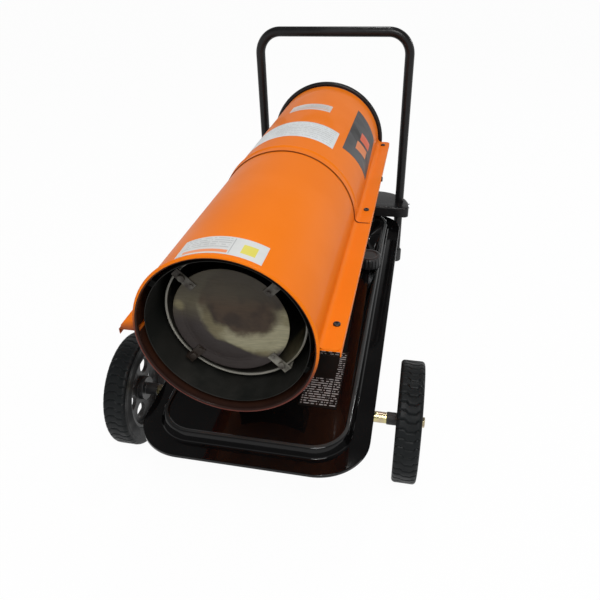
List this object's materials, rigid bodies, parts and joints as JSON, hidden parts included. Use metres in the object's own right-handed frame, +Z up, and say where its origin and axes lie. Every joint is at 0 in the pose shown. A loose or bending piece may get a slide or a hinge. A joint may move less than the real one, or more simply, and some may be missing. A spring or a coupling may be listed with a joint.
{
  "type": "kerosene heater",
  "caption": "Forced-air kerosene heater: horizontal round burner shell on a flat fuel tank with two wheels, U handle whose legs are the rear feet, and a filler cap.",
  "frame": {"origin": "on the floor under the middle of the heater's overall box", "axes": "+Z up, -Y the way the hot air blows, +X the side with the filler and the controls"},
  "size_m": [0.5404, 0.963, 0.603],
  "materials": {
    "orange_paint": "gloss orange powder coat",
    "black_gloss": "high gloss black enamel",
    "black_frame": "semi-gloss black powder coat",
    "black_screw": "blackened",
    "dark_liner": "dark galvanised sheet, dulled by heat",
    "hot_steel": "stainless, heat tinted",
    "tempered_steel": "stainless with brown and straw heat tarnish",
    "zinc": "bright zinc plate",
    "yellow_zinc": "yellow passivated zinc",
    "brass": "machined brass",
    "copper": "drawn copper",
    "white_ceramic": "glazed ceramic",
    "sensor_black": "moulded",
    "motor_grey": "grey enamel",
    "cast_aluminium": "as cast",
    "carbon": "graphite carbon",
    "filter_felt": "felt",
    "fan_metal": "pressed sheet",
    "gauge_face": "white dial in a steel case",
    "pointer_red": "satin",
    "black_plastic": "fine moulded texture",
    "rocker_red": "polished",
    "clear_plastic": "clear",
    "float_plastic": "moulded",
    "mesh_plastic": "fine mesh",
    "board_green": "solder mask",
    "transformer_resin": "potted",
    "rubber_black": "matt",
    "clear_hose": "translucent hose",
    "plate_black": "printed film",
    "hub_plastic": "moulded",
    "tyre_rubber": "moulded, zigzag tread"
  },
  "bodies": {
    "heater": {"front_upper_shell": "orange_paint", "rear_upper_shell": "orange_paint", "lower_shell": "orange_paint", "tank_upper_half": "black_gloss", "tank_lower_half": "black_gloss", "handle": "black_frame", "rear_bracket": "black_frame", "base_box": "black_frame", "front_support": "black_frame", "fan_guard": "black_frame", "control_panel": "black_frame", "case_screws": "black_screw", "heat_shield": "dark_liner", "combustion_chamber": "hot_steel", "deflector_clips": "hot_steel", "deflector_disc": "tempered_steel", "bracket_bolts": "zinc", "burner_head": "zinc", "motor_bracket": "zinc", "filler_neck": "zinc", "drain_plug": "zinc", "axle": "zinc", "axle_fittings": "yellow_zinc", "axle_saddles": "yellow_zinc", "fuel_nozzle": "brass", "fuel_pickup": "brass", "fuel_line": "copper", "spark_electrode": "white_ceramic", "photocell": "sensor_black", "motor_housing": "motor_grey", "pump_body": "cast_aluminium", "pump_end_cover": "cast_aluminium", "air_filters": "filter_felt", "pressure_gauge_case": "gauge_face", "switch_body": "black_plastic", "fuel_gauge_housing": "black_plastic", "power_inlet": "black_plastic", "gauge_lens": "clear_plastic", "display_lens": "clear_plastic", "filler_strainer": "mesh_plastic", "circuit_board": "board_green", "ignition_transformer": "transformer_resin", "leg_feet": "rubber_black", "ignition_lead": "rubber_black", "air_line": "clear_hose", "rating_plate": "plate_black"},
    "rotor": {"motor_shaft": "zinc", "fan": "fan_metal", "pump_rotor": "carbon"},
    "left_wheel": {"left_wheel_hub": "hub_plastic", "left_tyre": "tyre_rubber"},
    "right_wheel": {"right_wheel_hub": "hub_plastic", "right_tyre": "tyre_rubber"},
    "cap_lift": {"cap_gasket": "rubber_black"},
    "cap": {"fuel_cap": "black_plastic"},
    "rocker": {"power_rocker": "rocker_red"},
    "knob": {"thermostat_knob": "black_plastic"},
    "float": {"gauge_float_arm": "float_plastic"},
    "pointer": {"gauge_pointer": "pointer_red"},
    "needle": {"pressure_needle": "pointer_red"}
  },
  "joints": [
    {"name": "left_wheel_turn", "type": "hinge", "parent": "heater", "child": "left_wheel", "pos_m": [-0.243, -0.312, 0.1015], "axis": [1, 0, 0], "continuous": true},
    {"name": "right_wheel_turn", "type": "hinge", "parent": "heater", "child": "right_wheel", "pos_m": [0.243, -0.312, 0.1015], "axis": [1, 0, 0], "continuous": true},
    {"name": "rotor_spin", "type": "hinge", "parent": "heater", "child": "rotor", "pos_m": [0, 0.1885, 0.368], "axis": [0, 1, 0], "continuous": true},
    {"name": "cap_lift_off", "type": "slide", "parent": "heater", "child": "cap_lift", "axis": [0, 0, 1], "range_m": [0, 0.07]},
    {"name": "cap_unscrew", "type": "hinge", "parent": "cap_lift", "child": "cap", "pos_m": [0.13, 0.1185, 0.163], "axis": [0, 0, 1], "range_deg": [0, 90]},
    {"name": "power_rock", "type": "hinge", "parent": "heater", "child": "rocker", "pos_m": [0.084, 0.2235, 0.235], "axis": [0, -1, 0], "range_deg": [0, 20]},
    {"name": "thermostat_turn", "type": "hinge", "parent": "heater", "child": "knob", "pos_m": [0.098, 0.1905, 0.196], "axis": [-1, 0, 0], "range_deg": [0, 270]},
    {"name": "float_swing", "type": "hinge", "parent": "heater", "child": "float", "pos_m": [-0.118, 0.0785, 0.118], "axis": [0, -1, 0], "range_deg": [0, 60]},
    {"name": "pointer_turn", "type": "hinge", "parent": "heater", "child": "pointer", "pos_m": [-0.118, 0.0785, 0.15], "axis": [0, 0, -1], "range_deg": [0, 90]},
    {"name": "needle_swing", "type": "hinge", "parent": "heater", "child": "needle", "pos_m": [0, 0.2935, 0.386], "axis": [0, -1, 0], "range_deg": [0, 270]}
  ],
  "couplings": [
    {"joint": "pointer_turn", "follows": "float_swing", "ratio": 1.5}
  ]
}
